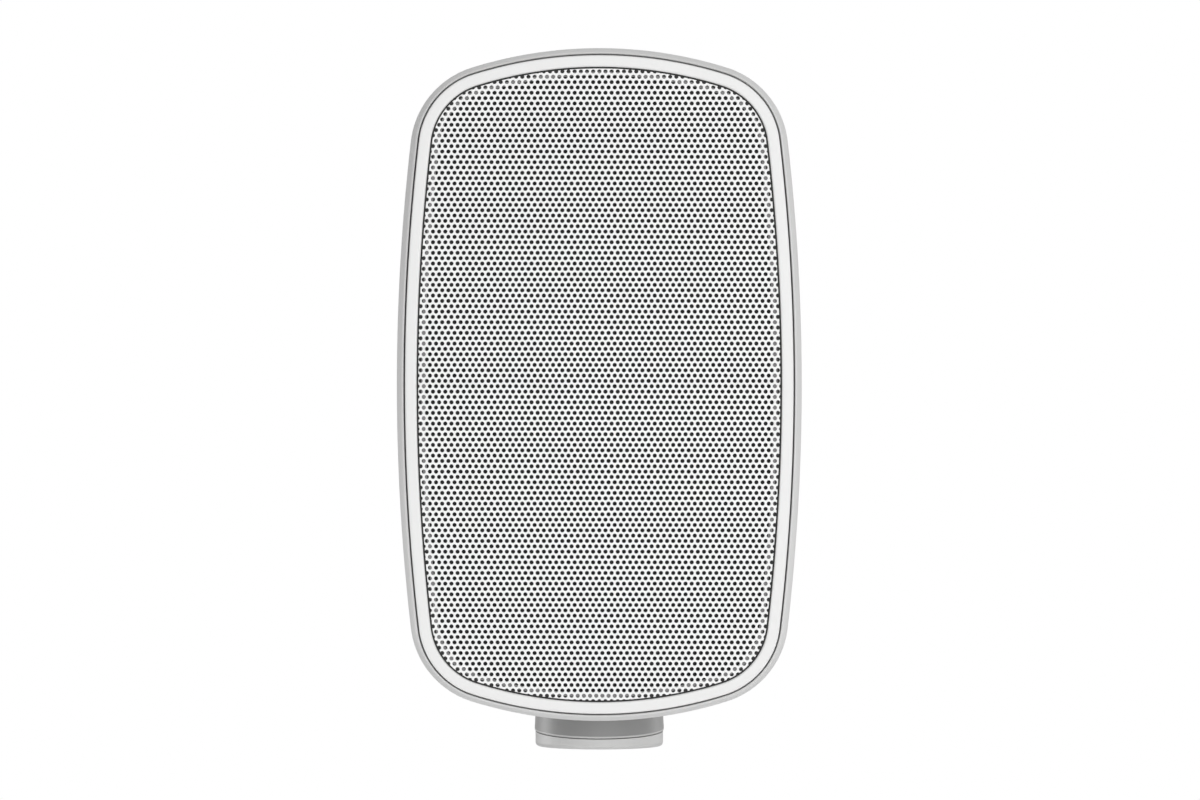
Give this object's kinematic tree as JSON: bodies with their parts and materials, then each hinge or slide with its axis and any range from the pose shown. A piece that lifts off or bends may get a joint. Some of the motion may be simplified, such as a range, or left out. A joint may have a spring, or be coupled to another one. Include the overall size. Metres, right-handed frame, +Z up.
{
  "type": "wall loudspeaker",
  "caption": "Two-way wall loudspeaker with bowed cabinet, perforated grille, swivel drum foot and tilting wall bracket.",
  "frame": {"origin": "centre of the wall plate's back face, at the centre of its four screw holes", "axes": "+Z up the wall, +Y into the wall, and the grille faces -Y"},
  "size_m": [0.199, 0.225, 0.3726],
  "materials": {
    "cabinet_plastic": "fine grained matt white",
    "frame_plastic": "fine grained matt white",
    "grille_paint": "powder coated white",
    "grille_cloth": "black knit",
    "black_plastic": "moulded matt black",
    "foam": "soft foam",
    "rubber": "matt rubber",
    "zinc_steel": "zinc plated",
    "black_steel": "black enamel",
    "ferrite": "pressed ferrite",
    "paper": "coated pulp",
    "copper": "enamelled wire",
    "spider_cloth": "resin treated cloth",
    "silk": "coated silk",
    "strip_board": "phenolic board",
    "circuit_board": "lacquered board",
    "pale_plastic": "moulded plastic",
    "capacitor_film": "wrapped film",
    "cement": "ceramic case",
    "lead_red": "insulated wire",
    "lead_black": "insulated wire",
    "lead_grey": "insulated wire",
    "wadding": "polyester wadding",
    "green_plastic": "moulded plastic",
    "brass": "turned brass",
    "cover_plastic": "fine grained matt white",
    "drum_plastic": "fine grained matt white",
    "bracket_paint": "white powder coat on a casting"
  },
  "bodies": {
    "wall_plate": {"wall_plate": "bracket_paint", "tilt_bolt": "zinc_steel", "tilt_nut": "zinc_steel"},
    "arm": {"bracket_arm": "bracket_paint", "swivel_washer": "zinc_steel"},
    "cone": {"woofer_cone": "paper", "woofer_dust_cap": "paper", "woofer_coil_former": "paper", "woofer_voice_coil": "copper"},
    "dome": {"tweeter_dome": "silk", "tweeter_voice_coil": "copper"},
    "cabinet": {"cabinet_shell": "cabinet_plastic", "front_baffle": "black_plastic", "baffle_seal": "foam", "baffle_screws": "zinc_steel", "grille_frame": "frame_plastic", "grille_sheet": "grille_paint", "grille_cloth": "grille_cloth", "peg_cups": "rubber", "woofer_basket": "black_steel", "woofer_gasket": "foam", "woofer_surround": "rubber", "woofer_spider": "spider_cloth", "woofer_top_plate": "zinc_steel", "woofer_magnet": "ferrite", "woofer_yoke": "zinc_steel", "woofer_terminals": "strip_board", "woofer_screws": "black_steel", "tweeter_faceplate": "black_plastic", "tweeter_surround": "silk", "tweeter_top_plate": "zinc_steel", "tweeter_magnet": "ferrite", "tweeter_yoke": "zinc_steel", "tweeter_terminals": "strip_board", "tweeter_screws": "black_steel", "crossover_board": "circuit_board", "board_spacers": "pale_plastic", "board_screws": "zinc_steel", "air_core_coil": "copper", "iron_core_coil": "copper", "film_capacitors": "capacitor_film", "cement_resistors": "cement", "board_connector": "pale_plastic", "woofer_leads": "lead_red", "tweeter_leads": "lead_black", "input_leads": "lead_grey", "damping_wadding": "wadding", "terminal_cup": "black_plastic", "terminal_block": "green_plastic", "terminal_screws": "brass", "cup_screws": "zinc_steel", "terminal_cover": "cover_plastic", "cover_screws": "zinc_steel", "cable_gland": "rubber", "safety_insert": "brass", "mount_plate": "zinc_steel", "mount_screws": "zinc_steel", "swivel_drum": "drum_plastic", "swivel_bolt": "zinc_steel", "friction_ring": "rubber"}
  },
  "joints": [
    {"name": "tilt", "type": "hinge", "parent": "wall_plate", "child": "arm", "pos_m": [0, -0.024, -0.0397], "axis": [1, 0, 0], "range_deg": [0, 25]},
    {"name": "swivel", "type": "hinge", "parent": "arm", "child": "cabinet", "pos_m": [0, -0.135, -0.0297], "axis": [0, 0, 1], "range_deg": [-60, 60]},
    {"name": "woofer_travel", "type": "slide", "parent": "cabinet", "child": "cone", "axis": [0, -1, 0], "range_m": [-0.004, 0.004], "stiffness_N_per_m": 1200, "deforming": ["woofer_surround", "woofer_spider"]},
    {"name": "tweeter_travel", "type": "slide", "parent": "cabinet", "child": "dome", "axis": [0, -1, 0], "range_m": [-0.0003, 0.0003], "stiffness_N_per_m": 3000, "deforming": ["tweeter_surround"]}
  ]
}
